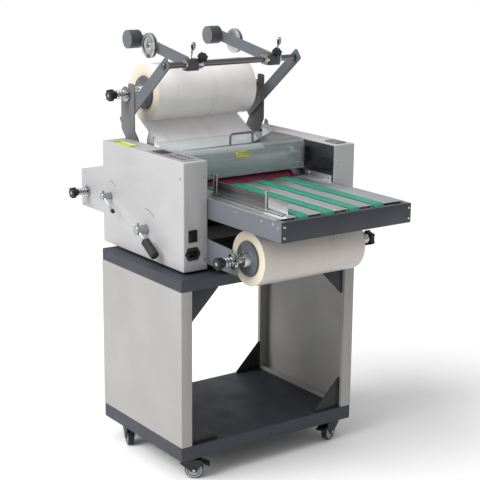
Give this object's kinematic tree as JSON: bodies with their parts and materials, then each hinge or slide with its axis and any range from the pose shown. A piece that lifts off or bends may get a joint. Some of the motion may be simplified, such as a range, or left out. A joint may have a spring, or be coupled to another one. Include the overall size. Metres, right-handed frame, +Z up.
{
  "type": "roll laminator",
  "caption": "Floor-standing roll laminator: heated nip between side covers, belt feed table, two film rolls, swing-down perforating wheels, wheeled cart.",
  "frame": {"origin": "on the floor under the middle of the whole machine", "axes": "+X along the rollers to the operator's right, +Y from the feed table to the back, +Z up"},
  "size_m": [0.6236, 0.868, 1.1572],
  "materials": {
    "slate_paint": "satin powder coat",
    "pale_paint": "fine textured powder coat",
    "black_paint": "satin",
    "beam_paint": "satin powder coat",
    "grey_paint": "satin powder coat",
    "upright_paint": "satin powder coat",
    "arm_paint": "satin powder coat",
    "steel": "brushed",
    "zinc": "zinc plated",
    "dark_steel": "ground",
    "chrome": "polished",
    "aluminium": "satin",
    "red_silicone": "matt",
    "black_rubber": "matt",
    "castor_tread": "matt",
    "green_belt": "smooth",
    "film": "clear film wound tight",
    "black_plastic": "fine grain",
    "gloss_black": "gloss",
    "panel_film": "membrane",
    "clear_acrylic": "clear",
    "blue_plastic": "moulded"
  },
  "bodies": {
    "frame": {"base_shelf": "slate_paint", "cart_top": "slate_paint", "side_panels": "pale_paint", "corner_gussets": "black_paint", "castor_plates": "zinc", "machine_feet": "black_rubber", "machine_base": "black_paint", "side_frames": "dark_steel", "roller_bearings": "steel", "left_cover": "pale_paint", "right_cover": "pale_paint", "control_panel": "panel_film", "power_inlet": "black_plastic", "drive_motor": "black_paint", "guide_bars": "chrome", "film_webs": "film", "uprights": "upright_paint", "diagonal_arms": "arm_paint", "crossbar": "dark_steel", "lower_brackets": "grey_paint", "table_rails": "grey_paint", "table_front_beam": "beam_paint", "feed_deck": "aluminium", "feed_belts": "green_belt", "cover_hinges": "zinc", "perforator_collars": "black_plastic", "machine_screws": "zinc"},
    "front_left_fork": {"front_left_castor_fork": "zinc"},
    "front_left_wheel": {"front_left_castor_wheel": "castor_tread"},
    "front_left_brake": {"front_left_brake_pedal": "black_plastic"},
    "front_right_fork": {"front_right_castor_fork": "zinc"},
    "front_right_wheel": {"front_right_castor_wheel": "castor_tread"},
    "front_right_brake": {"front_right_brake_pedal": "black_plastic"},
    "back_left_fork": {"back_left_castor_fork": "zinc"},
    "back_left_wheel": {"back_left_castor_wheel": "castor_tread"},
    "back_right_fork": {"back_right_castor_fork": "zinc"},
    "back_right_wheel": {"back_right_castor_wheel": "castor_tread"},
    "power_rocker": {"power_rocker": "gloss_black"},
    "heated_roller": {"heated_roller": "chrome"},
    "nip_carriage": {"nip_blocks": "steel"},
    "rubber_roller": {"rubber_roller": "red_silicone"},
    "upper_pull_roller": {"upper_pull_roller": "black_rubber"},
    "lower_pull_roller": {"lower_pull_roller": "black_rubber"},
    "belt_roller": {"belt_roller": "steel"},
    "upper_mandrel": {"upper_mandrel": "blue_plastic", "upper_film_roll": "film"},
    "lower_mandrel": {"lower_mandrel": "blue_plastic", "lower_film_roll": "film"},
    "upper_tension_knob": {"upper_tension_knob": "black_plastic"},
    "lower_tension_knob": {"lower_tension_knob": "black_plastic"},
    "rewind_shaft": {"rewind_shaft": "chrome"},
    "rewind_knob": {"rewind_knob": "black_plastic"},
    "left_perforator": {"left_perforator_arm": "arm_paint"},
    "left_perforating_wheel": {"left_perforating_wheel": "aluminium"},
    "right_perforator": {"right_perforator_arm": "arm_paint"},
    "right_perforating_wheel": {"right_perforating_wheel": "aluminium"},
    "safety_cover": {"safety_cover": "clear_acrylic"},
    "side_fence": {"side_fence": "zinc"},
    "pressure_lever": {"pressure_lever": "chrome"},
    "pull_lever": {"pull_lever": "chrome"}
  },
  "joints": [
    {"name": "front_left_swivel", "type": "hinge", "parent": "frame", "child": "front_left_fork", "pos_m": [-0.255, -0.1195, 0.06], "axis": [0, 0, 1], "continuous": true},
    {"name": "front_left_roll", "type": "hinge", "parent": "front_left_fork", "child": "front_left_wheel", "pos_m": [-0.23558, -0.13361, 0.025], "axis": [-0.5878, -0.809, 0], "continuous": true},
    {"name": "front_left_brake_press", "type": "hinge", "parent": "front_left_fork", "child": "front_left_brake", "pos_m": [-0.22264, -0.14301, 0.049], "axis": [0.5878, 0.809, 0], "range_deg": [0, 12]},
    {"name": "front_right_swivel", "type": "hinge", "parent": "frame", "child": "front_right_fork", "pos_m": [0.255, -0.1195, 0.06], "axis": [0, 0, 1], "continuous": true},
    {"name": "front_right_roll", "type": "hinge", "parent": "front_right_fork", "child": "front_right_wheel", "pos_m": [0.23245, -0.12771, 0.025], "axis": [-0.342, 0.9397, 0], "continuous": true},
    {"name": "front_right_brake_press", "type": "hinge", "parent": "front_right_fork", "child": "front_right_brake", "pos_m": [0.21741, -0.13318, 0.049], "axis": [0.342, -0.9397, 0], "range_deg": [0, 12]},
    {"name": "back_left_swivel", "type": "hinge", "parent": "frame", "child": "back_left_fork", "pos_m": [-0.255, 0.1845, 0.06], "axis": [0, 0, 1], "continuous": true},
    {"name": "back_left_roll", "type": "hinge", "parent": "back_left_fork", "child": "back_left_wheel", "pos_m": [-0.26281, 0.16181, 0.025], "axis": [-0.9455, 0.3256, 0], "continuous": true},
    {"name": "back_right_swivel", "type": "hinge", "parent": "frame", "child": "back_right_fork", "pos_m": [0.255, 0.1845, 0.06], "axis": [0, 0, 1], "continuous": true},
    {"name": "back_right_roll", "type": "hinge", "parent": "back_right_fork", "child": "back_right_wheel", "pos_m": [0.26321, 0.16195, 0.025], "axis": [-0.9397, -0.342, 0], "continuous": true},
    {"name": "power_rocker_tip", "type": "hinge", "parent": "frame", "child": "power_rocker", "pos_m": [-0.2265, -0.113, 0.6645], "axis": [1, 0, 0], "range_deg": [0, 16]},
    {"name": "heated_roller_spin", "type": "hinge", "parent": "frame", "child": "heated_roller", "pos_m": [0.0295, 0.055, 0.80365], "axis": [1, 0, 0], "continuous": true},
    {"name": "nip_opening", "type": "slide", "parent": "frame", "child": "nip_carriage", "axis": [0, 0, -1], "range_m": [0, 0.003]},
    {"name": "rubber_roller_spin", "type": "hinge", "parent": "nip_carriage", "child": "rubber_roller", "pos_m": [0.0295, 0.055, 0.73335], "axis": [1, 0, 0], "continuous": true},
    {"name": "upper_pull_roller_spin", "type": "hinge", "parent": "frame", "child": "upper_pull_roller", "pos_m": [0.0295, 0.27, 0.79065], "axis": [1, 0, 0], "continuous": true},
    {"name": "lower_pull_roller_spin", "type": "hinge", "parent": "frame", "child": "lower_pull_roller", "pos_m": [0.0295, 0.27, 0.74635], "axis": [1, 0, 0], "continuous": true},
    {"name": "belt_roller_spin", "type": "hinge", "parent": "frame", "child": "belt_roller", "pos_m": [0.0295, -0.396, 0.7478], "axis": [1, 0, 0], "continuous": true},
    {"name": "upper_mandrel_spin", "type": "hinge", "parent": "frame", "child": "upper_mandrel", "pos_m": [0.0295, 0.274, 0.9885], "axis": [1, 0, 0], "continuous": true},
    {"name": "lower_mandrel_spin", "type": "hinge", "parent": "frame", "child": "lower_mandrel", "pos_m": [0.0295, -0.2355, 0.6183], "axis": [1, 0, 0], "continuous": true},
    {"name": "upper_tension_turn", "type": "hinge", "parent": "upper_mandrel", "child": "upper_tension_knob", "pos_m": [-0.2205, 0.274, 0.9885], "axis": [1, 0, 0], "range_deg": [-180, 180]},
    {"name": "lower_tension_turn", "type": "hinge", "parent": "lower_mandrel", "child": "lower_tension_knob", "pos_m": [-0.2105, -0.2355, 0.6183], "axis": [1, 0, 0], "range_deg": [-180, 180]},
    {"name": "rewind_shaft_spin", "type": "hinge", "parent": "frame", "child": "rewind_shaft", "pos_m": [0.0295, 0.3973, 0.6983], "axis": [1, 0, 0], "continuous": true},
    {"name": "rewind_tension_turn", "type": "hinge", "parent": "rewind_shaft", "child": "rewind_knob", "pos_m": [-0.2905, 0.3973, 0.6983], "axis": [1, 0, 0], "range_deg": [-180, 180]},
    {"name": "left_perforator_swing", "type": "hinge", "parent": "frame", "child": "left_perforator", "pos_m": [-0.1065, 0.0796, 1.085], "axis": [1, 0, 0], "range_deg": [-2, 115]},
    {"name": "left_perforating_wheel_spin", "type": "hinge", "parent": "left_perforator", "child": "left_perforating_wheel", "pos_m": [-0.1145, 0.27674, 1.1187], "axis": [1, 0, 0], "continuous": true},
    {"name": "right_perforator_swing", "type": "hinge", "parent": "frame", "child": "right_perforator", "pos_m": [0.1655, 0.0796, 1.085], "axis": [1, 0, 0], "range_deg": [-2, 115]},
    {"name": "right_perforating_wheel_spin", "type": "hinge", "parent": "right_perforator", "child": "right_perforating_wheel", "pos_m": [0.1735, 0.27674, 1.1187], "axis": [1, 0, 0], "continuous": true},
    {"name": "safety_cover_open", "type": "hinge", "parent": "frame", "child": "safety_cover", "pos_m": [0.0295, 0.185, 0.872], "axis": [-1, 0, 0], "range_deg": [0, 75]},
    {"name": "side_fence_slide", "type": "slide", "parent": "frame", "child": "side_fence", "axis": [1, 0, 0], "range_m": [-0.02, 0.035]},
    {"name": "pressure_lever_turn", "type": "hinge", "parent": "frame", "child": "pressure_lever", "pos_m": [-0.2705, 0.0736, 0.65], "axis": [-1, 0, 0], "range_deg": [0, 100]},
    {"name": "pull_lever_turn", "type": "hinge", "parent": "frame", "child": "pull_lever", "pos_m": [-0.2705, 0.2646, 0.708], "axis": [-1, 0, 0], "range_deg": [0, 90]}
  ],
  "couplings": [
    {"joint": "rubber_roller_spin", "follows": "heated_roller_spin", "ratio": -1},
    {"joint": "upper_pull_roller_spin", "follows": "heated_roller_spin", "ratio": 1.5909},
    {"joint": "lower_pull_roller_spin", "follows": "heated_roller_spin", "ratio": -1.5909},
    {"joint": "belt_roller_spin", "follows": "heated_roller_spin", "ratio": -3.1818},
    {"joint": "upper_mandrel_spin", "follows": "heated_roller_spin", "ratio": -0.43371},
    {"joint": "lower_mandrel_spin", "follows": "heated_roller_spin", "ratio": -0.48276},
    {"joint": "nip_opening", "follows": "pressure_lever_turn", "m_per_rad": 0.0017189}
  ]
}
